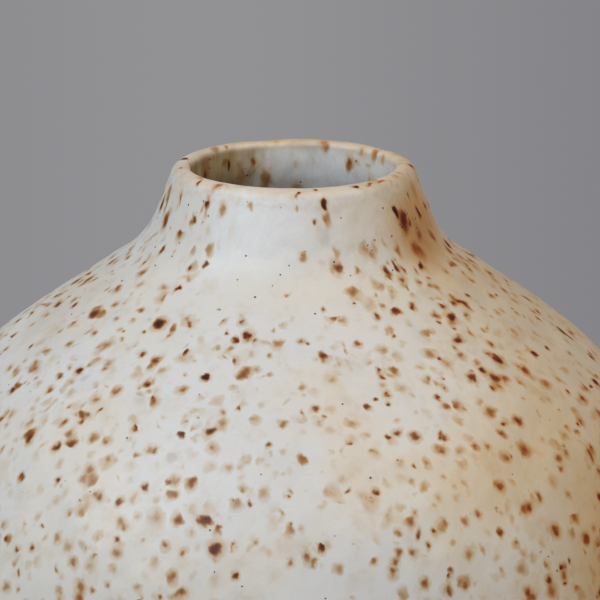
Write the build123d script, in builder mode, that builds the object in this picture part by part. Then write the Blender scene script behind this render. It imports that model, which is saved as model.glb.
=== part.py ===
from build123d import *
from math import asin, atan2, cos, degrees, radians, sin, sqrt
import os

os.makedirs("parts", exist_ok=True)

# A round bottle vase in glazed stoneware: a trimmed foot, a globe body, a short flared neck and a
# small rolled lip. Every wall face is the outer skin moved inwards along its normals by one depth,
# so clay and glaze meet face to face. Origin: centre of the foot's resting plane, +Z up. Millimetres
# and degrees.

# ---- driving dimensions ----
total_height = 154.0

lip_roll = 2.55  # radius of the lip's outer roll
lip_inner_roll = 1.35  # radius of the lip's inner roll
crest_radius = 19.85  # circle where the two rolls meet at the top
neck_lean = 20.5  # neck wall, degrees from vertical, wider at the bottom
neck_length = 8.3  # straight part of the neck wall
sweep_radius = 16.7  # hollow curve between neck and shoulder
shoulder_fall = 34.3  # shoulder, degrees below horizontal
shoulder_length = 23.0  # straight part of the shoulder
belly_radius = 57.0  # section radius from the shoulder to the widest line
lower_radius = 86.0  # section radius below the widest line

wall = 5.0  # clay and both glazes together
glaze = 0.5  # one coat of glaze

foot_height = 5.0
foot_outer_radius = 36.5
foot_inner_radius = 29.5
foot_bevel = 0.8
floor_thickness = 6.5
floor_joint_radius = 33.0  # where the thrown floor becomes wall
floor_corner_radius = 12.0  # inside, between floor and wall
bare_band_height = 6.5  # unglazed clay left above the foot

# ---- depths below the outer skin ----
clay_face = glaze
inner_clay_face = wall - glaze
inner_skin = wall

# ---- centres and joints of the section, from the lip down ----
lean_normal = Vector(cos(radians(neck_lean)), sin(radians(neck_lean)))
lean_run = Vector(sin(radians(neck_lean)), -cos(radians(neck_lean)))
fall_normal = Vector(sin(radians(shoulder_fall)), cos(radians(shoulder_fall)))
fall_run = Vector(cos(radians(shoulder_fall)), -sin(radians(shoulder_fall)))

lip_centre = Vector(crest_radius, total_height - lip_roll)
lip_inner_centre = Vector(crest_radius, total_height - lip_inner_roll)
throat_radius = crest_radius - lip_inner_roll
neck_top = lip_centre + lean_normal * lip_roll
neck_bottom = neck_top + lean_run * neck_length
sweep_centre = neck_bottom + lean_normal * sweep_radius
shoulder_top = sweep_centre - fall_normal * sweep_radius
shoulder_bottom = shoulder_top + fall_run * shoulder_length
belly_centre = shoulder_bottom - fall_normal * belly_radius
widest_height = belly_centre.Y
widest_radius = belly_centre.X + belly_radius
lower_centre = Vector(widest_radius - lower_radius, widest_height)

floor_top = foot_height + floor_thickness
corner_height = floor_top + glaze + floor_corner_radius
corner_reach = lower_radius - inner_skin - floor_corner_radius
corner_centre = Vector(
    lower_centre.X + sqrt(corner_reach**2 - (corner_height - widest_height) ** 2), corner_height
)
corner_angle = degrees(
    atan2(corner_centre.Y - lower_centre.Y, corner_centre.X - lower_centre.X)
)


# ---- the section's stretches, each at any depth below the outer skin ----
def lip_outside(depth):
    """Outer roll, from the neck wall up to the crest."""
    return CenterArc(lip_centre, lip_roll - depth, neck_lean, 90 - neck_lean)


def lip_inside(depth):
    """Inner roll, from the crest down to the throat; depth is measured into the lip."""
    return CenterArc(lip_inner_centre, lip_inner_roll - depth, 90, 90)


def neck_wall(depth):
    """Outer neck wall, from the lip to the hollow curve."""
    return Line(neck_top - lean_normal * depth, neck_bottom - lean_normal * depth)


def throat_end(depth):
    """Where the straight throat meets the inner neck wall."""
    radius = throat_radius + wall - depth
    start = neck_top - lean_normal * depth
    return start + lean_run * ((radius - start.X) / lean_run.X)


def inner_neck_wall(depth):
    """Inner neck wall, from the throat to the hollow curve."""
    return Line(throat_end(depth), neck_bottom - lean_normal * depth)


def neck_sweep(depth):
    """Hollow curve from the neck out to the shoulder."""
    start = 180 + neck_lean
    return CenterArc(sweep_centre, sweep_radius + depth, start, 90 - shoulder_fall - neck_lean)


def shoulder_slope(depth):
    """Straight slope of the shoulder."""
    return Line(shoulder_top - fall_normal * depth, shoulder_bottom - fall_normal * depth)


def belly(depth):
    """Round stretch from the widest line up to the shoulder."""
    return CenterArc(belly_centre, belly_radius - depth, 0, 90 - shoulder_fall)


def lower_belly(depth, end_angle):
    """Round stretch from the widest line down to an angle below the horizontal."""
    return CenterArc(lower_centre, lower_radius - depth, 0, end_angle)


def floor_corner(depth):
    """Inside curve between the floor and the wall."""
    radius = floor_corner_radius + inner_skin - depth
    return CenterArc(corner_centre, radius, -90, 90 + corner_angle)


def lower_angle_at(height, depth):
    """Angle on the lower stretch at which a skin of this depth reaches a height."""
    return degrees(asin((height - widest_height) / (lower_radius - depth)))


def on_lower(depth, angle):
    """Point of the lower stretch at an angle."""
    turn = Vector(cos(radians(angle)), sin(radians(angle)))
    return lower_centre + turn * (lower_radius - depth)


# ---- foot: the trimmed ring that the vase stands on ----
with BuildPart() as foot_ring:
    with BuildSketch():
        Circle(foot_outer_radius)
        Circle(foot_inner_radius, mode=Mode.SUBTRACT)
    extrude(amount=foot_height)
    chamfer(foot_ring.edges().group_by(Axis.Z)[0], foot_bevel)
foot_ring.part.label = "foot_ring"
export_step(foot_ring.part, "parts/foot_ring.step")

# ---- floor: the disc that closes the pot, above the foot's hollow ----
with BuildPart() as floor_disc:
    with BuildSketch(Plane.XY.offset(foot_height)):
        Circle(floor_joint_radius)
    extrude(amount=floor_thickness)
floor_disc.part.label = "floor_disc"
export_step(floor_disc.part, "parts/floor_disc.step")

# ---- lower wall: from the foot to the widest line ----
lower_wall_end = lower_angle_at(foot_height, clay_face)
with BuildPart() as lower_wall:
    with BuildSketch(Plane.XZ):
        with BuildLine():
            lower_belly(clay_face, lower_wall_end)
            Line(on_lower(clay_face, lower_wall_end), (floor_joint_radius, foot_height))
            Line((floor_joint_radius, foot_height), (floor_joint_radius, floor_top))
            Line((floor_joint_radius, floor_top), (corner_centre.X, floor_top))
            floor_corner(inner_clay_face)
            lower_belly(inner_clay_face, corner_angle)
            Line(on_lower(inner_clay_face, 0), on_lower(clay_face, 0))
        make_face()
    revolve(axis=Axis.Z)
lower_wall.part.label = "lower_wall"
export_step(lower_wall.part, "parts/lower_wall.step")

# ---- shoulder wall: from the widest line up to the neck ----
with BuildPart() as shoulder_wall:
    with BuildSketch(Plane.XZ):
        with BuildLine():
            outer_slope = shoulder_slope(clay_face)
            inner_slope = shoulder_slope(inner_clay_face)
            outer_belly = belly(clay_face)
            inner_belly = belly(inner_clay_face)
            Line(outer_slope @ 0, inner_slope @ 0)
            Line(outer_belly @ 0, inner_belly @ 0)
        make_face()
    revolve(axis=Axis.Z)
shoulder_wall.part.label = "shoulder_wall"
export_step(shoulder_wall.part, "parts/shoulder_wall.step")

# ---- neck collar: the flared neck, up to the lip ----
lip_joint = lip_centre - lean_normal * ((crest_radius - throat_radius - glaze) / lean_normal.X)
with BuildPart() as neck_collar:
    with BuildSketch(Plane.XZ):
        with BuildLine():
            outer_neck = neck_wall(clay_face)
            outer_sweep = neck_sweep(clay_face)
            inner_sweep = neck_sweep(inner_clay_face)
            inner_neck_wall(inner_clay_face)
            Line(outer_sweep @ 1, inner_sweep @ 1)
            Line(throat_end(inner_clay_face), lip_joint)
            Line(lip_joint, outer_neck @ 0)
        make_face()
    revolve(axis=Axis.Z)
neck_collar.part.label = "neck_collar"
export_step(neck_collar.part, "parts/neck_collar.step")

# ---- rim lip: the rolled bead at the mouth ----
with BuildPart() as rim_lip:
    with BuildSketch(Plane.XZ):
        with BuildLine():
            outer_roll = lip_outside(clay_face)
            inner_roll = lip_inside(clay_face)
            Line(inner_roll @ 1, lip_joint)
            Line(lip_joint, outer_roll @ 0)
        make_face()
    revolve(axis=Axis.Z)
rim_lip.part.label = "rim_lip"
export_step(rim_lip.part, "parts/rim_lip.step")

# ---- neck glaze: outer coat, wrapped over the lip and down the neck to the shoulder ----
with BuildPart() as neck_glaze:
    with BuildSketch(Plane.XZ):
        with BuildLine():
            for depth in (0, clay_face):
                lip_inside(depth)
                lip_outside(depth)
                neck_wall(depth)
                neck_sweep(depth)
            Line((throat_radius, lip_inner_centre.Y), (throat_radius + glaze, lip_inner_centre.Y))
            Line(shoulder_top, shoulder_top - fall_normal * glaze)
        make_face()
    revolve(axis=Axis.Z)
neck_glaze.part.label = "neck_glaze"
export_step(neck_glaze.part, "parts/neck_glaze.step")

# ---- shoulder glaze: outer coat from the neck to the widest line ----
with BuildPart() as shoulder_glaze:
    with BuildSketch(Plane.XZ):
        with BuildLine():
            for depth in (0, clay_face):
                shoulder_slope(depth)
                belly(depth)
            Line(shoulder_top, shoulder_top - fall_normal * glaze)
            Line(on_lower(0, 0), on_lower(clay_face, 0))
        make_face()
    revolve(axis=Axis.Z)
shoulder_glaze.part.label = "shoulder_glaze"
export_step(shoulder_glaze.part, "parts/shoulder_glaze.step")

# ---- lower glaze: outer coat from the widest line to the bare band above the foot ----
glaze_line_angle = lower_angle_at(foot_height + bare_band_height, 0)
with BuildPart() as lower_glaze:
    with BuildSketch(Plane.XZ):
        with BuildLine():
            for depth in (0, clay_face):
                lower_belly(depth, glaze_line_angle)
            for angle in (0, glaze_line_angle):
                Line(on_lower(0, angle), on_lower(clay_face, angle))
        make_face()
    revolve(axis=Axis.Z)
lower_glaze.part.label = "lower_glaze"
export_step(lower_glaze.part, "parts/lower_glaze.step")

# ---- liner glaze: inner coat over the floor and the walls, up the throat to the lip's roll ----
with BuildPart() as liner_glaze:
    with BuildSketch(Plane.XZ):
        with BuildLine():
            for depth, height in ((inner_clay_face, floor_top), (inner_skin, floor_top + glaze)):
                Line((0, height), (corner_centre.X, height))
                floor_corner(depth)
                lower_belly(depth, corner_angle)
                belly(depth)
                shoulder_slope(depth)
                neck_sweep(depth)
                inner_neck_wall(depth)
                throat_top = (throat_radius + inner_skin - depth, lip_inner_centre.Y)
                Line(throat_end(depth), throat_top)
            Line((throat_radius, lip_inner_centre.Y), (throat_radius + glaze, lip_inner_centre.Y))
            Line((0, floor_top), (0, floor_top + glaze))
        make_face()
    revolve(axis=Axis.Z)
liner_glaze.part.label = "liner_glaze"
export_step(liner_glaze.part, "parts/liner_glaze.step")
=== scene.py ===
import math

import bmesh
import bpy
import numpy as np
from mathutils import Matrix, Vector


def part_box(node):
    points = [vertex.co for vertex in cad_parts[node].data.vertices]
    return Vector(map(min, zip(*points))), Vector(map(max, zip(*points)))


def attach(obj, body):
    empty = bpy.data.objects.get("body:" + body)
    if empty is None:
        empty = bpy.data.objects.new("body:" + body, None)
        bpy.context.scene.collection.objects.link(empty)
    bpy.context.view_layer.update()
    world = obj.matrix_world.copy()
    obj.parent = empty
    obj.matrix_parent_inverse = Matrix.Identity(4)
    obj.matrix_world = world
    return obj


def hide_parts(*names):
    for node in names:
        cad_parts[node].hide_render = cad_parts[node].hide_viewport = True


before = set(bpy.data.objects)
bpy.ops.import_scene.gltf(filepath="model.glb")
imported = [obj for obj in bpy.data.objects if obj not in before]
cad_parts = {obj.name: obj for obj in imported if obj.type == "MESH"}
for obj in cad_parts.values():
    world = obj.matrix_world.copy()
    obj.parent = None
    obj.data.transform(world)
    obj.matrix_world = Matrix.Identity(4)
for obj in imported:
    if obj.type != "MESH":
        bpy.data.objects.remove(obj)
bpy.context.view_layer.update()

# The vase is shaped in millimetres round its own axis, and each mesh is scaled to metres as it is made.
MM = 0.001

# ================================================================ section of the vase
# The frame gives the heights and the radii; the stretches between them repeat the part's own section.
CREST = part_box("neck_glaze")[1].z / MM
WIDEST_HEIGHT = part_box("shoulder_glaze")[0].z / MM
WIDEST_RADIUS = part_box("shoulder_glaze")[1].x / MM
GLAZE_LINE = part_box("lower_glaze")[0].z / MM
FOOT_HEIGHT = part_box("foot_ring")[1].z / MM
FOOT_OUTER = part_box("foot_ring")[1].x / MM
FLOOR_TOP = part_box("floor_disc")[1].z / MM
FLOOR_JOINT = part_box("floor_disc")[1].x / MM

LIP_ROLL = 2.55
LIP_INNER_ROLL = 1.35
CREST_RADIUS = 19.85
NECK_LEAN = math.radians(20.5)
NECK_LENGTH = 8.3
SWEEP_RADIUS = 16.7
SHOULDER_FALL = math.radians(34.3)
SHOULDER_LENGTH = 23.0
BELLY_RADIUS = 57.0
LOWER_RADIUS = 86.0
WALL = 5.0
GLAZE = 0.5
FOOT_INNER = 29.5
FOOT_BEVEL = 0.8
CORNER_RADIUS = 12.0
THROAT_BEND = 12.0
SEAM_DROP = 0.6  # the neck glaze's piece ends this far below the lip's inner roll, on straight wall
LINER_CAP = 2.0  # radius of the flat cap in the middle of the liner's floor
CLAY_CAP = 1.5  # the same on the clay floor
QUARTER = math.pi / 2


def turn(angle):
    """Unit vector at an angle in the section plane."""
    return np.array([math.cos(angle), math.sin(angle)])


LEAN_NORMAL = turn(NECK_LEAN)
LEAN_RUN = turn(NECK_LEAN - QUARTER)
FALL_NORMAL = turn(QUARTER - SHOULDER_FALL)
FALL_RUN = turn(-SHOULDER_FALL)
LIP_CENTRE = np.array([CREST_RADIUS, CREST - LIP_ROLL])
LIP_INNER_CENTRE = np.array([CREST_RADIUS, CREST - LIP_INNER_ROLL])
THROAT_RADIUS = CREST_RADIUS - LIP_INNER_ROLL
NECK_TOP = LIP_CENTRE + LEAN_NORMAL * LIP_ROLL
NECK_BOTTOM = NECK_TOP + LEAN_RUN * NECK_LENGTH
SWEEP_CENTRE = NECK_BOTTOM + LEAN_NORMAL * SWEEP_RADIUS
SWEEP_ANGLES = (2 * QUARTER + NECK_LEAN, 3 * QUARTER - SHOULDER_FALL)
SHOULDER_TOP = SWEEP_CENTRE - FALL_NORMAL * SWEEP_RADIUS
SHOULDER_BOTTOM = SHOULDER_TOP + FALL_RUN * SHOULDER_LENGTH
BELLY_CENTRE = SHOULDER_BOTTOM - FALL_NORMAL * BELLY_RADIUS
LOWER_CENTRE = np.array([WIDEST_RADIUS - LOWER_RADIUS, WIDEST_HEIGHT])
LOWER_END = math.asin((GLAZE_LINE - WIDEST_HEIGHT) / LOWER_RADIUS)
WALL_END = math.asin((FOOT_HEIGHT - WIDEST_HEIGHT) / (LOWER_RADIUS - GLAZE))

CORNER_HEIGHT = FLOOR_TOP + GLAZE + CORNER_RADIUS
CORNER_REACH = LOWER_RADIUS - WALL - CORNER_RADIUS
CORNER_ANGLE = math.asin((CORNER_HEIGHT - WIDEST_HEIGHT) / CORNER_REACH)
CORNER_CENTRE = LOWER_CENTRE + turn(CORNER_ANGLE) * CORNER_REACH

THROAT_SEAM = LIP_INNER_CENTRE - [LIP_INNER_ROLL, SEAM_DROP]


class Face:
    """A run of points down one face of the wall, each with the direction out of the clay there.

    inner is True for the face inside the pot. run is the way from the lip's crest, and stops holds
    where each stretch begins and ends."""

    def __init__(self, start, normal, inner=False):
        self.points = [np.array(start, float)]
        self.normals = [np.array(normal, float)]
        self.inner = inner
        self.stops = [0]

    def arc(self, centre, radius, start, end, step, side=1):
        """Round stretch; side is -1 where the face is hollow."""
        count = max(2, math.ceil(abs(end - start) * radius / step))
        for k in range(1, count + 1):
            way = turn(start + (end - start) * k / count)
            self.points.append(centre + way * radius)
            self.normals.append(way * side)
        self.stops.append(len(self.points) - 1)
        return self

    def line(self, end, normal, step):
        """Straight stretch from the last point."""
        start = self.points[-1]
        count = max(1, math.ceil(np.linalg.norm(end - start) / step))
        for k in range(1, count + 1):
            self.points.append(start + (end - start) * k / count)
            self.normals.append(np.array(normal, float))
        self.stops.append(len(self.points) - 1)
        return self

    def close(self, run_start):
        """Turns the lists into arrays once the face is complete."""
        self.points, self.normals = np.array(self.points), np.array(self.normals)
        steps = np.linalg.norm(np.diff(self.points, axis=0), axis=1)
        self.run = run_start + np.concatenate([[0], np.cumsum(steps)])
        return self

    def part(self, keep):
        """The same face with only some of its points, in the order asked for."""
        few = Face((0, 0), (0, 0), self.inner)
        few.points, few.normals, few.run = self.points[keep], self.normals[keep], self.run[keep]
        return few

    def stretch(self, start, end, every=1):
        """Some of the face's stretches, thinned to every few points with both ends kept."""
        first, last = self.stops[start], self.stops[end]
        return self.part(np.append(np.arange(first, last, every), last))

    def back_to_front(self):
        """The same face in the opposite order."""
        return self.part(slice(None, None, -1))


def throat_end(depth):
    """Where the straight throat meets the inner neck wall at a depth below the outer skin."""
    start = NECK_TOP - LEAN_NORMAL * depth
    return start + LEAN_RUN * ((THROAT_RADIUS + WALL - depth - start[0]) / LEAN_RUN[0])


LIP_INSIDE_RUN = SEAM_DROP + LIP_INNER_ROLL * QUARTER
neck_face = Face(THROAT_SEAM, (-1, 0))
neck_face.line(LIP_INNER_CENTRE - [LIP_INNER_ROLL, 0], (-1, 0), 0.2)
neck_face.arc(LIP_INNER_CENTRE, LIP_INNER_ROLL, 2 * QUARTER, QUARTER, 0.11)
neck_face.arc(LIP_CENTRE, LIP_ROLL, QUARTER, NECK_LEAN, 0.15)
neck_face.line(NECK_BOTTOM, LEAN_NORMAL, 0.3)
neck_face.arc(SWEEP_CENTRE, SWEEP_RADIUS, *SWEEP_ANGLES, 0.32, side=-1)
neck_face.close(-LIP_INSIDE_RUN)

shoulder_face = Face(SHOULDER_TOP, FALL_NORMAL)
shoulder_face.line(SHOULDER_BOTTOM, FALL_NORMAL, 0.55)
shoulder_face.arc(BELLY_CENTRE, BELLY_RADIUS, QUARTER - SHOULDER_FALL, 0, 0.6)
shoulder_face.close(neck_face.run[-1])

lower_face = Face(LOWER_CENTRE + [LOWER_RADIUS, 0], (1, 0))
lower_face.arc(LOWER_CENTRE, LOWER_RADIUS, 0, LOWER_END, 0.6)
lower_face.close(shoulder_face.run[-1])

throat_corner = throat_end(WALL)
throat_ease = THROAT_BEND * math.tan(NECK_LEAN / 2)
liner_face = Face(THROAT_SEAM, (-1, 0), inner=True)
liner_face.line(throat_corner + [0, throat_ease], (-1, 0), 0.4)
liner_face.arc(
    throat_corner + [THROAT_BEND, throat_ease], THROAT_BEND, 2 * QUARTER, 2 * QUARTER + NECK_LEAN, 0.4
)
liner_face.line(NECK_BOTTOM - LEAN_NORMAL * WALL, -LEAN_NORMAL, 0.5)
liner_face.arc(SWEEP_CENTRE, SWEEP_RADIUS + WALL, *SWEEP_ANGLES, 0.6)
liner_face.line(SHOULDER_BOTTOM - FALL_NORMAL * WALL, -FALL_NORMAL, 1.0)
liner_face.arc(BELLY_CENTRE, BELLY_RADIUS - WALL, QUARTER - SHOULDER_FALL, 0, 1.2, side=-1)
liner_face.arc(LOWER_CENTRE, LOWER_RADIUS - WALL, 0, CORNER_ANGLE, 1.2, side=-1)
liner_face.arc(CORNER_CENTRE, CORNER_RADIUS, CORNER_ANGLE, -QUARTER, 0.8, side=-1)
liner_face.line(np.array([LINER_CAP, FLOOR_TOP + GLAZE]), (0, 1), 1.5)
liner_face.close(LIP_INSIDE_RUN)

# ================================================================ hand-made unevenness
TURNS = 720  # places round each ring
NECK_SHIFT = 0.6  # the neck sits this far off the body's axis, towards +X
chance = np.random.default_rng(62)


def ease(value, low, high):
    """Smooth step from 0 at low to 1 at high."""
    t = np.clip((value - low) / (high - low), 0, 1)
    return t * t * (3 - 2 * t)


class Waves:
    """Smooth unevenness, about 1 at most: plane waves in random directions, added up."""

    def __init__(self, longest, shortest, count):
        ways = chance.normal(size=(count, 3))
        ways /= np.linalg.norm(ways, axis=1)[:, None]
        lengths = np.exp(chance.uniform(math.log(shortest), math.log(longest), count))
        self.ways = ways * (2 * math.pi / lengths)[:, None]
        self.phases = chance.uniform(0, 2 * math.pi, count)
        self.scale = 0.6 * math.sqrt(2 / count)

    def __call__(self, places):
        total = np.zeros(places.shape[:-1])
        for way, phase in zip(self.ways, self.phases):
            total += np.cos(places @ way + phase)
        return total * self.scale


body_waves = Waves(62.0, 26.0, 26)
hand_waves = Waves(19.0, 8.0, 40)
skin_waves = Waves(6.0, 2.6, 60)
edge_waves = Waves(30.0, 7.0, 24)
clay_waves = Waves(3.2, 1.4, 40)
lip_waves = Waves(44.0, 13.0, 14)

# shallow presses left by fingers and rib: angle round the pot, height, reach and depth
PRESS_COUNT = 64
PRESSES = [
    (
        chance.uniform(0, 2 * math.pi),
        chance.uniform(FOOT_HEIGHT + 18, SHOULDER_TOP[1] - 4),
        chance.uniform(7, 15),
        chance.uniform(-0.42, 0.16),
    )
    for _ in range(PRESS_COUNT)
]
OUTLINE = np.concatenate([shoulder_face.points, lower_face.points])[::-1]


def wall_shift(skin):
    """How far the wall stands out of its turned shape; skin is where the turned outside would be."""
    height = skin[..., 2]
    out = 0.34 * body_waves(skin) + 0.10 * hand_waves(skin)
    for angle, press_height, reach, depth in PRESSES:
        radius = np.interp(press_height, OUTLINE[:, 1], OUTLINE[:, 0])
        centre = (radius * math.cos(angle), radius * math.sin(angle), press_height)
        out += depth * np.exp(-((np.linalg.norm(skin - centre, axis=-1) / reach) ** 2))
    free = ease(height, FOOT_HEIGHT + 4, FOOT_HEIGHT + 30)
    firm = 1 - 0.55 * ease(height, SHOULDER_TOP[1] - 6, NECK_BOTTOM[1] + 3)
    short_of_lip = 1 - ease(height, CREST - 9, CREST - 3)
    return out * free * firm * short_of_lip


def glaze_shift(places, run):
    """How far the glaze stands proud of an even coat."""
    thin_lip = -0.13 * np.exp(-((run / 2.6) ** 2))
    pooled_sweep = 0.10 * np.exp(-(((run - 15) / 6) ** 2))
    rolled_edge = 0.30 * np.exp(-(((run - lower_face.run[-1] + 0.9) / 0.8) ** 2))
    uneven = 0.035 * skin_waves(places) + 0.05 * hand_waves(places + 40)
    return uneven + thin_lip + pooled_sweep + rolled_edge


# ================================================================ ring meshes
def spin(pairs, turns=TURNS):
    """Each pair of radius and height turned right round the axis: a row of places for each."""
    angles = np.arange(turns) * (2 * math.pi / turns)
    radius, height = pairs[:, :1], np.repeat(pairs[:, 1:], turns, axis=1)
    return np.stack([radius * np.cos(angles), radius * np.sin(angles), height], axis=-1)


def hand_thrown(places):
    """Moves the neck off the body's axis, and lets the lip rise, dip and swell a little."""
    height = places[..., 2]
    round_lip = places * [1, 1, 0]
    round_lip *= CREST_RADIUS / np.linalg.norm(round_lip, axis=-1, keepdims=True)
    by_lip = ease(height, CREST - 17, CREST - 3)
    moved = places.copy()
    moved[..., :2] *= (1 + 0.007 * by_lip * lip_waves(round_lip))[..., None]
    moved[..., 2] += 0.09 * by_lip * lip_waves(round_lip[..., [1, 0, 2]])
    moved[..., 0] += NECK_SHIFT * ease(height, SHOULDER_TOP[1] - 14, NECK_BOTTOM[1])
    return moved


def face_rows(face, depth=0.0, coat=False, turns=TURNS):
    """Rows of places on a wall face, or a depth into the clay from it, with the unevenness."""
    base, outward = spin(face.points, turns), spin(face.normals, turns)
    skin = base - outward * WALL if face.inner else base
    push = wall_shift(skin) * (-1 if face.inner else 1) - depth
    if coat:
        push = push + glaze_shift(base, np.abs(face.run)[:, None])
    return hand_thrown(base + outward * push[..., None])


def ring_piece(name, *rows, closed=True):
    """Piece from rows of places. A closed one is a tube; an open one is capped at both ends."""
    rows = np.concatenate(rows)
    count, turns = rows.shape[:2]
    index = np.arange(count * turns).reshape(count, turns)
    upper, lower = (index, np.roll(index, -1, axis=0)) if closed else (index[:-1], index[1:])
    quads = np.stack([upper, lower, np.roll(lower, -1, axis=1), np.roll(upper, -1, axis=1)], axis=-1)
    mesh = bpy.data.meshes.new(name)
    mesh.from_pydata((rows.reshape(-1, 3) * MM).tolist(), [], quads.reshape(-1, 4).tolist())
    shape = bmesh.new()
    shape.from_mesh(mesh)
    if not closed:
        bmesh.ops.holes_fill(shape, edges=[edge for edge in shape.edges if edge.is_boundary])
    bmesh.ops.recalc_face_normals(shape, faces=shape.faces)
    shape.to_mesh(mesh)
    shape.free()
    mesh.polygons.foreach_set("use_smooth", np.ones(len(mesh.polygons), bool))
    mesh.set_sharp_from_angle(angle=math.radians(40))
    piece = bpy.data.objects.new(name, mesh)
    bpy.context.collection.objects.link(piece)
    return piece


# The glaze ran down as it melted, so its specks are drawn out along the fall of the wall. Patterns are
# read in a space where a millimetre down the wall counts for less than one across it.
RUN_STATIONS = (-200, -30, 0, 12, 24, 45, 80, 110, 200)
RUN_SHARES = (0.8, 0.6, 0.5, 0.5, 0.42, 0.42, 0.8, 0.85, 0.85)
RUN_STEP = 0.25
run_steps = np.arange(RUN_STATIONS[0], RUN_STATIONS[-1] + RUN_STEP, RUN_STEP)
run_depths = np.cumsum(np.interp(run_steps, RUN_STATIONS, RUN_SHARES)) * RUN_STEP


def signed_run(face):
    """The way run from the lip's crest: above 0 outside the pot, below 0 inside."""
    return -face.run if face.inner else face.run


def pattern_rows(face):
    """Pattern space for every row of a face."""
    places = spin(face.points)
    places[..., 2] = -np.interp(signed_run(face), run_steps, run_depths)[:, None]
    return places


def note_rows(face):
    """For every row of a face: the signed run, and which side of the pot, as x and y from -1 to 1."""
    notes = spin(np.stack([np.ones(len(face.run)), signed_run(face)], axis=-1))
    return notes[..., [2, 0, 1]]


# Marks that single themselves out. Each is its angle round the pot in degrees from +X, with -90 towards
# the camera, its way down from the lip's crest, its half width and half length, and its iron.
OUTER_MARKS = (
    # painted warm shade on the right side, laid on as iron: right of the neck and low on the right; then
    # washes left of the shoulder and round the back of the lip
    (-24, 11.0, 13.0, 10.0, 0.26),
    (-30, 88.0, 26.0, 30.0, 0.18),
    (-162, 34.0, 14.0, 18.0, 0.05),
    (88, 0.5, 20.0, 2.5, 0.15),
    # drip under the lip, with the rust it trailed, and the spots beside it
    (-76, 4.0, 0.6, 1.2, 3.4),
    (-75, 6.5, 0.6, 1.5, 0.5),
    (-81, 7.0, 0.4, 0.5, 1.3),
    (-88, 4.5, 0.4, 0.5, 0.4),
    (-109, 4.5, 0.4, 0.8, 0.4),
    # pinholed rusty patches further down the neck
    (-86, 13.0, 0.8, 1.1, 0.5),
    (-73, 13.0, 0.6, 1.5, 0.3),
    (-56, 12.5, 0.7, 1.6, 0.2),
    # lip
    (-88, 2.0, 0.5, 0.4, 1.9),
    (-79, 1.0, 0.6, 0.4, 1.6),
    (-58, 1.0, 0.8, 0.4, 2.6),
    (-50, 1.0, 0.9, 0.4, 0.8),
    (-42, 1.0, 1.1, 0.4, 0.7),
    (-141, 1.5, 0.4, 0.8, 1.3),
    # right of the neck
    (-40, 7.5, 0.5, 1.2, 3.0),
    (-37, 9.0, 1.3, 2.2, 0.3),
    (-34, 8.0, 0.4, 0.6, 1.6),
    (-32, 10.0, 0.4, 0.7, 1.4),
    (-26, 5.5, 0.4, 0.8, 1.8),
    (-10, 9.0, 0.5, 1.0, 1.4),
    (-49, 16.5, 0.5, 1.3, 2.6),
    (-37, 18.0, 0.6, 0.8, 2.8),
    # left of the neck
    (-162, 8.0, 0.4, 2.6, 0.6),
    (-150, 5.5, 0.4, 1.4, 0.8),
    (-131, 5.5, 0.6, 2.3, 0.4),
    (-137, 8.5, 0.5, 1.1, 1.2),
    (-124, 15.5, 0.5, 0.6, 2.4),
    # shoulder and belly: lone dark specks and a worm-like one
    (-130, 21.0, 0.7, 0.6, 2.6),
    (-108, 39.0, 0.8, 0.8, 3.2),
    (-129, 51.0, 1.9, 0.5, 1.3),
    (-102, 66.0, 1.3, 0.8, 1.8),
)
LINER_MARKS = (
    (106, 9.0, 1.3, 3.6, 0.55),
    (133, 4.0, 0.9, 0.8, 0.4),
    (122, 7.0, 1.2, 3.4, 0.3),
    (88, 10.5, 1.4, 1.8, 0.35),
    (50, 4.0, 1.2, 0.9, 0.16),
    (41, 4.0, 0.8, 0.6, 0.22),
)
# Where specks crowd or keep away: angle in degrees, way down from the crest, reach in mm, and by how much.
CROWDS = (
    (-46, 21, 10, 0.9),
    (-60, 34, 12, 0.4),
    (-52, 62, 22, 0.35),
    (-140, 52, 20, 0.55),
    (-112, 80, 14, 0.4),
    (-92, 8, 13, -1.2),
    (-98, 24, 9, -0.3),
    (120, 40, 22, 0.5),
    (30, 70, 22, 0.4),
    (75, 20, 12, -0.4),
)
WASH_WIDTH = 3  # marks from this half width on are washes
RUSTY = 0.5  # small marks with no more iron than this are rusty patches, full of pinholes
mark_waves = Waves(2.6, 0.9, 30)


def from_angle(angles, angle):
    """How far round the pot places at some angles are from one angle, in radians."""
    return np.radians((angles - angle + 180) % 360 - 180)


def mark_rows(face, marks):
    """For every row of a face: the iron of the marks, how pinholed they leave a place, and the crowding."""
    places = spin(face.points)
    angles = np.degrees(np.arctan2(places[..., 1], places[..., 0]))
    radius = face.points[:, :1]
    iron, pinholed = np.zeros(angles.shape), np.zeros(angles.shape)
    sideways, along = 0.30 * mark_waves(places), 0.30 * mark_waves(places + 50)
    for angle, run, half_width, half_length, amount in marks:
        across = from_angle(angles, angle) * radius + sideways
        down = face.run[:, None] - run + along
        far = np.hypot(across / half_width, down / half_length)
        iron += amount * ease(-far, -1.1, -0.2) + min(amount, 0.9) * 0.13 * ease(-far, -1.9, -0.7)
        if half_width < WASH_WIDTH:
            share = 1.0 if amount <= RUSTY else 0.4
            pinholed = np.maximum(pinholed, share * ease(-far, -2.2, -0.8))
    crowding = np.zeros(angles.shape)
    for angle, run, reach, amount in CROWDS:
        across = from_angle(angles, angle) * radius
        down = np.abs(face.run)[:, None] - run
        crowding += amount * np.exp(-((np.hypot(across, down) / reach) ** 2))
    return np.stack([iron, pinholed, crowding], axis=-1)


def write_attribute(piece, name, *rows):
    """Stores one vector for each place of a piece."""
    layer = piece.data.attributes.new(name, "FLOAT_VECTOR", "POINT")
    layer.data.foreach_set("vector", np.concatenate(rows).astype(np.float32).ravel())


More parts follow.
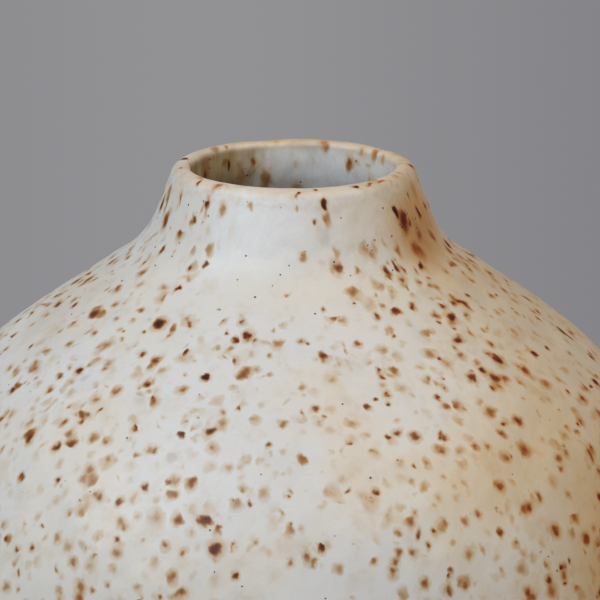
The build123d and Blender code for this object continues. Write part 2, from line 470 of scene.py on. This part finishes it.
def coat_piece(name, face, slide=None):
    """A coat of glaze as a closed shell: its shining face, and its back against the clay."""
    back = face.stretch(0, -1, every=4).back_to_front()
    if face.inner:
        face, back = face.back_to_front(), back.back_to_front()
    front_rows, back_rows = face_rows(face, coat=True), face_rows(back, depth=GLAZE)
    if slide:
        front_rows, back_rows = slide(front_rows, face), slide(back_rows, back)
    piece = ring_piece(name, front_rows, back_rows, closed=not face.inner)
    marks = LINER_MARKS if face.inner else OUTER_MARKS
    write_attribute(piece, "pattern", pattern_rows(face), pattern_rows(back))
    write_attribute(piece, "skin", note_rows(face), note_rows(back))
    write_attribute(piece, "marks", mark_rows(face, marks), mark_rows(back, marks))
    return piece


def wandering_line(rows, face):
    """Lets the lower edge of the glaze wander up and down round the pot."""
    tangent = spin(np.stack([face.normals[:, 1], -face.normals[:, 0]], axis=-1))
    edge = lower_face.run[-1]
    by_edge = ease(face.run, edge - 9, edge)[:, None]
    return rows + tangent * (by_edge * (0.9 * edge_waves(rows) - 0.7))[..., None]


neck_coat = coat_piece("neck_glaze_coat", neck_face)
shoulder_coat = coat_piece("shoulder_glaze_coat", shoulder_face)
lower_coat = coat_piece("lower_glaze_coat", lower_face, wandering_line)
liner_coat = coat_piece("liner_glaze_coat", liner_face)

# ---------------------------------------------------------------- clay
CLAY = GLAZE + 0.02  # the coats' backs lie just clear of the clay
HIDDEN_TURNS = 180  # clay that its glaze covers is coarser
BARE_TURNS = 540

# Stretches of the faces: the lip takes the outer one's first 3, and the neck the liner's first 4.
lip_clay = ring_piece("lip_clay", face_rows(neck_face.stretch(0, 3, 2), CLAY, turns=HIDDEN_TURNS))
neck_clay = ring_piece(
    "neck_clay",
    face_rows(neck_face.stretch(3, 5, 3), CLAY, turns=HIDDEN_TURNS),
    face_rows(liner_face.stretch(0, 4, 2).back_to_front(), CLAY, turns=HIDDEN_TURNS),
)
shoulder_clay = ring_piece(
    "shoulder_clay",
    face_rows(shoulder_face.stretch(0, -1, 4), CLAY, turns=HIDDEN_TURNS),
    face_rows(liner_face.stretch(4, 6, 2).back_to_front(), CLAY, turns=HIDDEN_TURNS),
)

# the lower wall's outside: coarse under the glaze, and fine on the bare band below it
BARE_START = LOWER_END + 0.03  # a little above the glaze's edge, as an angle on the wall
bare_face = Face(LOWER_CENTRE + [LOWER_RADIUS, 0], (1, 0))
bare_face.arc(LOWER_CENTRE, LOWER_RADIUS, 0, BARE_START, 2.4)
bare_face.arc(LOWER_CENTRE, LOWER_RADIUS, BARE_START, WALL_END, 0.25)
bare_face.close(shoulder_face.run[-1])


def trimmed(rows, pitch, cut):
    """Shallow turned grooves and a little grog on clay that was trimmed on the wheel."""
    radius = np.linalg.norm(rows[..., :2], axis=-1)
    angle = np.arctan2(rows[..., 1], rows[..., 0])
    groove = np.cos(2 * math.pi * (radius + rows[..., 2]) / pitch + angle)
    rough = cut * groove + 0.05 * clay_waves(rows)
    moved = rows.copy()
    moved[..., 2] += rough
    return moved


lower_clay = ring_piece(
    "lower_clay",
    face_rows(bare_face, CLAY, turns=BARE_TURNS),
    spin(np.array([(FLOOR_JOINT, FOOT_HEIGHT), (FLOOR_JOINT, FLOOR_TOP)]), BARE_TURNS),
    face_rows(liner_face.stretch(6, 8, 3).back_to_front(), CLAY, turns=BARE_TURNS),
)
floor_radii = np.arange(CLAY_CAP, FLOOR_JOINT, 0.35)
floor_under = np.stack([floor_radii, np.full(len(floor_radii), FOOT_HEIGHT)], axis=-1)[::-1]
floor_above = np.array([(CLAY_CAP, FLOOR_TOP), (FLOOR_JOINT, FLOOR_TOP), (FLOOR_JOINT, FOOT_HEIGHT)])
floor_clay = ring_piece(
    "floor_clay",
    spin(floor_above, BARE_TURNS),
    trimmed(spin(floor_under, BARE_TURNS), pitch=2.6, cut=0.10),
    closed=False,
)

# the foot's section, anticlockwise from its inner top edge, with rounded lower edges
foot_face = Face((FOOT_INNER, FOOT_HEIGHT), (-1, 0))
foot_face.line(np.array([FOOT_INNER, FOOT_BEVEL]), (-1, 0), 0.25)
inner_bevel = np.array([FOOT_INNER + FOOT_BEVEL, FOOT_BEVEL])
outer_bevel = np.array([FOOT_OUTER - FOOT_BEVEL, FOOT_BEVEL])
foot_face.arc(inner_bevel, FOOT_BEVEL, 2 * QUARTER, 3 * QUARTER, 0.15)
foot_face.line(outer_bevel - [0, FOOT_BEVEL], (0, -1), 0.3)
foot_face.arc(outer_bevel, FOOT_BEVEL, -QUARTER, 0, 0.15)
foot_face.line(np.array([FOOT_OUTER, FOOT_HEIGHT]), (1, 0), 0.25)
foot_face.close(0.0)
foot_base = spin(foot_face.points, BARE_TURNS)
foot_out = spin(foot_face.normals, BARE_TURNS)
foot_wear = np.minimum(0, 0.05 * clay_waves(foot_base) - 0.04)
foot_wear *= ease(FOOT_HEIGHT - foot_base[..., 2], 0, 0.8)
foot_clay = ring_piece("foot_clay", foot_base + foot_out * foot_wear[..., None])

# ================================================================ materials
JITTER = 0.85  # how freely specks lie in their cells
SHRINKING = 0.10  # share of the cells whose specks are shrinking away
NEAR_BORDER = 1.3  # how near the next cell a speck starts to fade, in its own radii


class Graph:
    """A material's node tree, with short calls for the nodes used here. Values are numbers or sockets."""

    def __init__(self, name):
        self.material = bpy.data.materials.new(name)
        self.material.use_nodes = True
        self.tree = self.material.node_tree
        self.tree.nodes.clear()
        self.shader = self.node("ShaderNodeBsdfPrincipled")
        output = self.node("ShaderNodeOutputMaterial")
        self.tree.links.new(self.shader.outputs["BSDF"], output.inputs["Surface"])

    def node(self, kind, inputs=None, **settings):
        made = self.tree.nodes.new(kind)
        for name, value in settings.items():
            setattr(made, name, value)
        for name, value in (inputs or {}).items():
            self.put(made.inputs[name], value)
        return made

    def put(self, socket, value):
        if isinstance(value, bpy.types.NodeSocket):
            self.tree.links.new(value, socket)
        elif isinstance(value, tuple) and len(value) == 3 and socket.type == "RGBA":
            socket.default_value = (*value, 1.0)
        else:
            socket.default_value = value

    def attribute(self, name):
        return self.node("ShaderNodeAttribute", attribute_name=name).outputs["Vector"]

    def split(self, vector):
        parts = self.node("ShaderNodeSeparateXYZ", {0: vector})
        return parts.outputs[0], parts.outputs[1], parts.outputs[2]

    def math(self, operation, a, b=0.0, c=0.0, clamp=False):
        made = self.node("ShaderNodeMath", {0: a, 1: b, 2: c}, operation=operation, use_clamp=clamp)
        return made.outputs[0]

    def vector(self, operation, a, b):
        return self.node("ShaderNodeVectorMath", {0: a, 1: b}, operation=operation).outputs[0]

    def scaled(self, vector, amount):
        return self.node("ShaderNodeVectorMath", {0: vector, "Scale": amount}, operation="SCALE").outputs[0]

    def noise(self, places, size, detail=2.0, roughness=0.5, output="Fac"):
        """Soft noise whose blotches are about size across."""
        inputs = {"Vector": places, "Scale": 1 / size, "Detail": detail, "Roughness": roughness}
        return self.node("ShaderNodeTexNoise", inputs).outputs[output]

    def fade(self, value, start, end, low=0.0, high=1.0):
        """Smooth change from low to high as value goes from start to end."""
        inputs = {"Value": value, "From Min": start, "From Max": end, "To Min": low, "To Max": high}
        return self.node("ShaderNodeMapRange", inputs, interpolation_type="SMOOTHSTEP").outputs["Result"]

    def mix(self, share, a, b):
        """Colour between a and b."""
        made = self.node("ShaderNodeMix", data_type="RGBA")
        for socket, value in ((made.inputs[0], share), (made.inputs[6], a), (made.inputs[7], b)):
            self.put(socket, value)
        return made.outputs[2]

    def specks(self, places, cell, small, large, keep):
        """Scattered specks: how far out in its speck a place is, 1 at the rim, and a random tone.

        keep is the share of cells that hold a speck; a speck near that limit shrinks away. Places close to
        the border of the next cell count as far out, so that no speck is cut off there."""
        inputs = {"Vector": places, "Scale": 1 / cell, "Randomness": JITTER}
        nearest = self.node("ShaderNodeTexVoronoi", inputs)
        distance = nearest.outputs["Distance"]
        second = self.node("ShaderNodeTexVoronoi", inputs, feature="F2").outputs["Distance"]
        chosen, size, tone = self.split(nearest.outputs["Color"])
        present = self.fade(chosen, keep, self.math("SUBTRACT", keep, SHRINKING))
        radius = self.math("MULTIPLY_ADD", self.math("MULTIPLY", size, size), large - small, small)
        radius = self.math("MAXIMUM", self.math("MULTIPLY", radius, present), 0.001)
        out = self.math("DIVIDE", self.math("MULTIPLY", distance, cell), radius)
        border = self.math("MULTIPLY", self.math("SUBTRACT", second, distance), cell)
        by_border = self.fade(self.math("DIVIDE", border, radius), NEAR_BORDER, 0.0, 0.0, 2.0)
        return self.math("ADD", out, by_border), tone

    def bump(self, height):
        """Surface relief; height is in millimetres."""
        return self.node("ShaderNodeBump", {"Height": height, "Distance": MM, "Strength": 1.0}).outputs[0]


COOL_WHITE = (0.640, 0.645, 0.650)
GREY_WHITE = (0.560, 0.565, 0.575)
WARM_WHITE = (0.645, 0.610, 0.550)
MAUVE = (0.330, 0.290, 0.290)
LINER_WHITE = (0.840, 0.855, 0.870)
LINER_WARM = (0.805, 0.785, 0.740)
# olive on the left of the inside: partly a real stain, partly painted shade
OLIVE_STAIN_AND_SHADE = (0.450, 0.360, 0.205)
# painted warm light: the tint laid on the right side of the glaze
PAINTED_WARM_LIGHT_TINT = (0.990, 0.925, 0.785)
PINHOLE = (0.020, 0.012, 0.010)
CLAY_TAN = (0.400, 0.290, 0.195)
CLAY_DARK = (0.330, 0.225, 0.145)
CLAY_PALE = (0.520, 0.410, 0.300)
GROG = (0.580, 0.480, 0.370)
CLAY_SPECK = (0.115, 0.040, 0.018)
PAPER = (0.520, 0.515, 0.505)
PAPER_PALE = (0.560, 0.555, 0.545)

# Iron in the glaze dims green and blue more than red: how much more, away from the painted warm light on
# the right side and within it.
IRON_GREEN = (2.1, 2.75)
IRON_BLUE = (3.6, 5.4)

# Layers of iron specks, faint ones first. Each is whether it curls, its place in the pattern, the size of
# its cells, the smallest and largest radius, the share of cells with a speck, and the least and most iron.
SPECK_LAYERS = (
    (False, (5.0, 83.0, 19.0), 3.7, 0.65, 1.30, 0.90, 0.08, 0.85),
    (False, (53.0, 11.0, 71.0), 2.9, 0.34, 0.70, 0.52, 0.30, 2.0),
    (False, (17.0, 29.0, 43.0), 3.7, 0.60, 1.10, 0.95, 0.45, 2.8),
    (False, (71.0, 3.0, 13.0), 5.2, 0.78, 1.35, 0.70, 0.60, 3.3),
    (True, (2.0, 41.0, 90.0), 5.2, 0.50, 1.05, 0.70, 0.35, 2.2),
)
LIP_IRON = 0.105
UNDER_LIP_IRON = 0.03
PATCH_IRON = 0.06
# painted shade: iron that darkens the right side along with the painted warm light
PAINTED_WARM_SHADE_IRON = 0.05
# iron in the olive on the left of the inside, partly a real stain and partly painted shade
INSIDE_STAIN_AND_SHADE_IRON = 0.34
MIDDLE = (0.5, 0.5, 0.5)


def glaze_ground_with_painted_warmth(g, places, run, side_x, mottle):
    """The glaze without its iron, and the share of painted warm light and shade at each place, most on the
    right side.
    """
    cloud = g.noise(places, 26.0, 4.0, 0.55)
    drift = g.noise(g.vector("ADD", places, (40.0, 9.0, 77.0)), 9.0, 4.0, 0.6)
    fine = g.noise(places, 0.45, 2.0)

    # cool and greyish where thick, warm where thin
    indoors = g.fade(run, 0.2, -1.8)
    thick = g.math("MAXIMUM", indoors, g.fade(run, 24.0, 9.0, 0.0, 0.36))
    cool = g.mix(thick, COOL_WHITE, LINER_WHITE)
    warm = g.mix(indoors, WARM_WHITE, LINER_WARM)
    warmth = g.math("MULTIPLY_ADD", mottle, 0.5, g.fade(cloud, 0.40, 0.66), clamp=True)
    colour = g.mix(g.math("SUBTRACT", warmth, 0.25, clamp=True), cool, warm)
    colour = g.mix(g.math("MULTIPLY", g.fade(drift, 0.50, 0.70), 0.4), colour, GREY_WHITE)
    colour = g.mix(g.fade(fine, 0.40, 0.75, 0.0, 0.22), colour, GREY_WHITE)

    # painted warm light and shade on the right side, more so lower down
    painted_warm_side = g.math("ADD", side_x, g.fade(run, 8.0, 60.0, -0.20, 0.10))
    painted_warm_side = g.math("MULTIPLY_ADD", g.math("SUBTRACT", cloud, 0.5), 1.1, painted_warm_side)
    painted_warm_side = g.math("MULTIPLY", g.fade(painted_warm_side, 0.05, 0.95), g.fade(run, -1.8, 7.0, 0.2, 1.0))
    return g.vector("MULTIPLY", colour, g.mix(painted_warm_side, (1.0, 1.0, 1.0), PAINTED_WARM_LIGHT_TINT)), painted_warm_side


def add_washes_and_painted_shade(g, iron, places, run, mottle, painted_warm_side):
    """Adds thin washes of iron on the lip, just under it and in drifting patches, and painted shade laid on
    as iron on the warm-lit right side.
    """
    ragged_run = g.math("ADD", run, g.fade(mottle, 0.3, 0.7, -0.9, 0.9))
    lip = g.fade(g.math("ABSOLUTE", ragged_run), 3.6, 1.2)
    under_lip = g.fade(g.math("ABSOLUTE", g.math("SUBTRACT", ragged_run, 4.4)), 0.9, 0.1)
    patches = g.noise(g.vector("ADD", places, (12.0, 60.0, 5.0)), 5.0, 5.0, 0.65)
    iron = g.math("MULTIPLY_ADD", lip, LIP_IRON, iron)
    iron = g.math("MULTIPLY_ADD", under_lip, UNDER_LIP_IRON, iron)
    iron = g.math("MULTIPLY_ADD", g.fade(patches, 0.50, 0.72), PATCH_IRON, iron)
    return g.math("MULTIPLY_ADD", painted_warm_side, PAINTED_WARM_SHADE_IRON, iron)


def inside_stain_and_shade(g, places, run, side_x):
    """Olive that streaks down the left side of the inside, partly a real stain and partly painted shade:
    its share, and that of the iron in it.
    """
    streaky = g.noise(g.vector("MULTIPLY", places, (1.0, 1.0, 0.16)), 3.4, 3.0)
    shaded = g.math("MULTIPLY_ADD", g.math("SUBTRACT", streaky, 0.5), 1.1, side_x)
    stain_and_shade = g.math("MULTIPLY", g.fade(shaded, -0.20, -0.75), g.fade(run, -0.9, -2.8))
    return stain_and_shade, g.math("MULTIPLY", stain_and_shade, g.fade(streaky, 0.35, 0.65))


def add_specks(g, iron, relief, frayed, curled, gather):
    """Adds the iron specks, from faint tan spots to the dark ones, each with a halo and a slight dip."""
    for curls, shift, cell, small, large, keep, weak, strong in SPECK_LAYERS:
        share = g.math("MULTIPLY", gather, keep)
        places = g.vector("ADD", curled if curls else frayed, shift)
        q, tone = g.specks(places, cell, small, large, share)
        amount = g.math("MULTIPLY_ADD", g.math("MULTIPLY", tone, tone), strong - weak, weak)
        core = g.math("MULTIPLY", g.fade(q, 1.12, 0.02), amount)
        halo = g.math("MULTIPLY", g.math("MINIMUM", amount, 0.9), 0.25)
        halo = g.math("MULTIPLY", g.fade(q, 2.0, 0.6), halo)
        iron = g.math("ADD", iron, g.math("ADD", core, halo))
        relief = g.math("MULTIPLY_ADD", core, -0.012, relief)
    return iron, relief


def light_left(g, iron, painted_warm_side):
    """What iron leaves of red, green and blue; more yellow where the warm light is painted on the right
    side.
    """
    red = g.math("EXPONENT", g.math("MULTIPLY", iron, -1.0))
    green = g.math("POWER", red, g.fade(painted_warm_side, 0.0, 1.0, *IRON_GREEN))
    blue = g.math("POWER", red, g.fade(painted_warm_side, 0.0, 1.0, *IRON_BLUE))
    return g.node("ShaderNodeCombineXYZ", {0: red, 1: green, 2: blue}).outputs[0]


def pinholes(g, run, by_mark):
    """Holes where gas broke through: a few all over, and more in and round the rusty patches."""
    straight = g.scaled(g.node("ShaderNodeTexCoord").outputs["Object"], 1 / MM)
    q, _ = g.specks(straight, 1.5, 0.15, 0.26, g.fade(run, 18.0, 32.0, 0.24, 0.10))
    by_patch, _ = g.specks(straight, 0.85, 0.12, 0.26, g.math("MULTIPLY", by_mark, 0.85))
    return g.math("MAXIMUM", g.fade(q, 1.1, 0.6), g.fade(by_patch, 1.1, 0.6))


def glaze_material(name):
    """Off-white satin glaze over iron-bearing clay, with the specks that have bled through it."""
    g = Graph(name)
    places = g.attribute("pattern")
    run, side_x, _ = g.split(g.attribute("skin"))
    marks, by_mark, crowding = g.split(g.attribute("marks"))
    mottle = g.noise(places, 3.2, 5.0, 0.6)
    ragged = g.vector("SUBTRACT", g.noise(places, 1.7, 2.0, 0.5, "Color"), MIDDLE)
    frayed = g.vector("ADD", places, g.scaled(ragged, 1.5))
    curl = g.vector("SUBTRACT", g.noise(places, 4.6, 1.0, 0.5, "Color"), MIDDLE)
    curled = g.vector("ADD", frayed, g.scaled(curl, 8.0))

    # ground colour with painted warm light and shade on the right side
    colour, painted_warm_side = glaze_ground_with_painted_warmth(g, places, run, side_x, mottle)
    iron = add_washes_and_painted_shade(g, marks, places, run, mottle, painted_warm_side)
    # olive down the left of the inside: partly a real stain, partly painted shade
    stain_and_shade, stain_and_shade_iron = inside_stain_and_shade(g, places, run, side_x)
    colour = g.mix(stain_and_shade, colour, OLIVE_STAIN_AND_SHADE)
    iron = g.math("MULTIPLY_ADD", stain_and_shade_iron, INSIDE_STAIN_AND_SHADE_IRON, iron)

    # grey-violet specks that stayed under the glaze
    q, tone = g.specks(g.vector("ADD", frayed, (31.0, 7.0, 3.0)), 5.2, 0.7, 1.5, 0.5)
    submerged = g.math("MULTIPLY", g.fade(q, 1.15, 0.3), g.fade(tone, 0, 1, 0.05, 0.35))
    colour = g.mix(submerged, colour, MAUVE)

    # specks gather in crowds, and fewer lie on the neck
    crowd = g.noise(places, 10.0, 1.0)
    gather = g.math("ADD", g.fade(crowd, 0.36, 0.62, 0.55, 1.30), crowding)
    gather = g.math("SUBTRACT", gather, g.fade(run, 20.0, 9.0, 0.0, 0.28))
    relief = g.math("MULTIPLY", g.noise(places, 4.5, 3.0), 0.16)
    relief = g.math("MULTIPLY_ADD", g.noise(places, 0.8, 2.0), 0.018, relief)
    iron, relief = add_specks(g, iron, relief, frayed, curled, gather)
    colour = g.vector("MULTIPLY", colour, light_left(g, iron, painted_warm_side))

    hole = pinholes(g, run, by_mark)
    colour = g.mix(g.math("MULTIPLY", hole, 0.9), colour, PINHOLE)
    relief = g.math("MULTIPLY_ADD", hole, -0.12, relief)

    g.put(g.shader.inputs["Base Color"], colour)
    g.put(g.shader.inputs["Roughness"], g.fade(mottle, 0.25, 0.75, 0.38, 0.52))
    g.shader.inputs["Specular IOR Level"].default_value = 0.42
    g.put(g.shader.inputs["Normal"], g.bump(relief))
    return g.material


def clay_material():
    """Bare stoneware: buff clay with iron specks and grog, dry to the touch."""
    g = Graph("bare_clay")
    places = g.scaled(g.node("ShaderNodeTexCoord").outputs["Object"], 1 / MM)
    mottle = g.noise(places, 2.4, 5.0, 0.65)
    cloud = g.noise(places, 18.0, 3.0)
    colour = g.mix(g.fade(cloud, 0.35, 0.65), CLAY_TAN, CLAY_DARK)
    colour = g.mix(g.fade(mottle, 0.42, 0.75, 0, 0.5), colour, CLAY_PALE)
    q, tone = g.specks(places, 1.9, 0.10, 0.38, 0.45)
    speck = g.math("MULTIPLY", g.fade(q, 1.1, 0.5), g.fade(tone, 0, 1, 0.3, 0.9))
    colour = g.mix(speck, colour, CLAY_SPECK)
    q, _ = g.specks(g.vector("ADD", places, (9.0, 5.0, 2.0)), 1.5, 0.12, 0.42, 0.35)
    grog = g.fade(q, 1.0, 0.6)
    colour = g.mix(g.math("MULTIPLY", grog, 0.45), colour, GROG)
    g.put(g.shader.inputs["Base Color"], colour)
    g.put(g.shader.inputs["Roughness"], g.fade(mottle, 0.3, 0.7, 0.78, 0.92))
    g.shader.inputs["Specular IOR Level"].default_value = 0.3
    relief = g.math("MULTIPLY", g.noise(places, 0.7, 4.0, 0.7), 0.10)
    g.put(g.shader.inputs["Normal"], g.bump(g.math("MULTIPLY_ADD", grog, 0.05, relief)))
    return g.material


outer_glaze = glaze_material("outer_glaze")
liner_glaze = glaze_material("liner_glaze")
bare_clay = clay_material()

for piece, material, slot, node in (
    (neck_coat, outer_glaze, "outer_glaze", "neck_glaze"),
    (shoulder_coat, outer_glaze, "outer_glaze", "shoulder_glaze"),
    (lower_coat, outer_glaze, "outer_glaze", "lower_glaze"),
    (liner_coat, liner_glaze, "liner_glaze", "liner_glaze"),
    (lip_clay, bare_clay, "bare_clay", "rim_lip"),
    (neck_clay, bare_clay, "bare_clay", "neck_collar"),
    (shoulder_clay, bare_clay, "bare_clay", "shoulder_wall"),
    (lower_clay, bare_clay, "bare_clay", "lower_wall"),
    (floor_clay, bare_clay, "bare_clay", "floor_disc"),
    (foot_clay, bare_clay, "bare_clay", "foot_ring"),
):
    piece.data.materials.append(material)
    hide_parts(node)
    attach(piece, "root")

# ================================================================ stage, light and camera
FLOOR_RADIUS = 3.0
FLOOR_BACK = 0.36  # the floor ends this far behind the vase, out of the camera's sight

floor_shape = bmesh.new()
bmesh.ops.create_circle(floor_shape, cap_ends=True, segments=256, radius=FLOOR_RADIUS)
bmesh.ops.translate(floor_shape, verts=floor_shape.verts, vec=(0, FLOOR_BACK - FLOOR_RADIUS, 0))
floor_mesh = bpy.data.meshes.new("floor")
floor_shape.to_mesh(floor_mesh)
floor_shape.free()
floor = bpy.data.objects.new("floor", floor_mesh)
bpy.context.collection.objects.link(floor)
paper = Graph("pale_floor")
paper_places = paper.node("ShaderNodeTexCoord").outputs["Object"]
paper_grain = paper.noise(paper_places, 0.004, 3.0)
paper.put(paper.shader.inputs["Base Color"], paper.mix(paper_grain, PAPER, PAPER_PALE))
paper.shader.inputs["Roughness"].default_value = 0.8
floor_mesh.materials.append(paper.material)

# grey backdrop all round, lightest behind the vase's left side and darker towards the right
BACKDROP_LEFT = (0.255, 0.253, 0.268, 1)
BACKDROP_LIGHT = (0.286, 0.284, 0.299, 1)
BACKDROP_RIGHT = (0.228, 0.227, 0.242, 1)
BACKDROP_REACH = (-0.18, 0.16)  # from left to right, as the x of a way out from the vase
LIGHTEST = 0.42  # share of that reach where the backdrop is lightest

world = bpy.data.worlds.new("backdrop")
world.use_nodes = True
backdrop = world.node_tree.nodes
spread = backdrop.new("ShaderNodeMapRange")
spread.inputs["From Min"].default_value, spread.inputs["From Max"].default_value = BACKDROP_REACH
shades = backdrop.new("ShaderNodeValToRGB")
shades.color_ramp.interpolation = "EASE"
shades.color_ramp.elements[0].color = BACKDROP_LEFT
shades.color_ramp.elements[1].color = BACKDROP_RIGHT
shades.color_ramp.elements.new(LIGHTEST).color = BACKDROP_LIGHT
apart = backdrop.new("ShaderNodeSeparateXYZ")
way_out = backdrop.new("ShaderNodeTexCoord").outputs["Generated"]
for source, target in (
    (way_out, apart.inputs[0]),
    (apart.outputs[0], spread.inputs["Value"]),
    (spread.outputs["Result"], shades.inputs[0]),
    (shades.outputs["Color"], backdrop["Background"].inputs["Color"]),
):
    world.node_tree.links.new(source, target)
bpy.context.scene.world = world


LIGHT_DISTANCE = 1.2
LIGHT_SIZE = 0.9


def soft_light(name, azimuth, elevation, power, colour):
    """A square soft box turned to the neck. Azimuth is in degrees to the right of the camera's side."""
    side, rise = math.radians(azimuth), math.radians(elevation)
    way = Vector((math.sin(side) * math.cos(rise), -math.cos(side) * math.cos(rise), math.sin(rise)))
    lamp = bpy.data.lights.new(name, "AREA")
    lamp.size = LIGHT_SIZE
    lamp.energy = power
    lamp.color = colour
    light = bpy.data.objects.new(name, lamp)
    light.location = Vector((0, 0, CREST * MM)) + way * LIGHT_DISTANCE
    light.rotation_mode = "QUATERNION"
    light.rotation_quaternion = (-way).to_track_quat("-Z", "Y")
    bpy.context.collection.objects.link(light)


soft_light("window", -52, 41, 9.3, (0.87, 0.95, 1.0))
soft_light("warm_lamp", 62, 60, 7.3, (1.0, 0.85, 0.67))

# The camera looks down on the lip from nearby, so that the shoulder fills the frame.
CAMERA_DISTANCE = 0.480  # from the mouth's middle
MOUTH_SEEN = math.radians(12.87)  # how far below the horizontal the mouth lies from the camera
CAMERA_PITCH = math.radians(15.86)
CAMERA_SIDE = 1.3 * MM  # the mouth is a little left of the frame's middle
FRAME_ANGLE = math.radians(12.981)

view = bpy.data.cameras.new("camera")
view.angle = FRAME_ANGLE
view.clip_start = 0.02
camera = bpy.data.objects.new("camera", view)
camera.location = (
    NECK_SHIFT * MM + CAMERA_SIDE,
    -CAMERA_DISTANCE * math.cos(MOUTH_SEEN),
    CREST * MM + CAMERA_DISTANCE * math.sin(MOUTH_SEEN),
)
camera.rotation_euler = (QUARTER - CAMERA_PITCH, 0, 0)
bpy.context.collection.objects.link(camera)
bpy.context.scene.camera = camera
bpy.context.scene.view_settings.view_transform = "Standard"
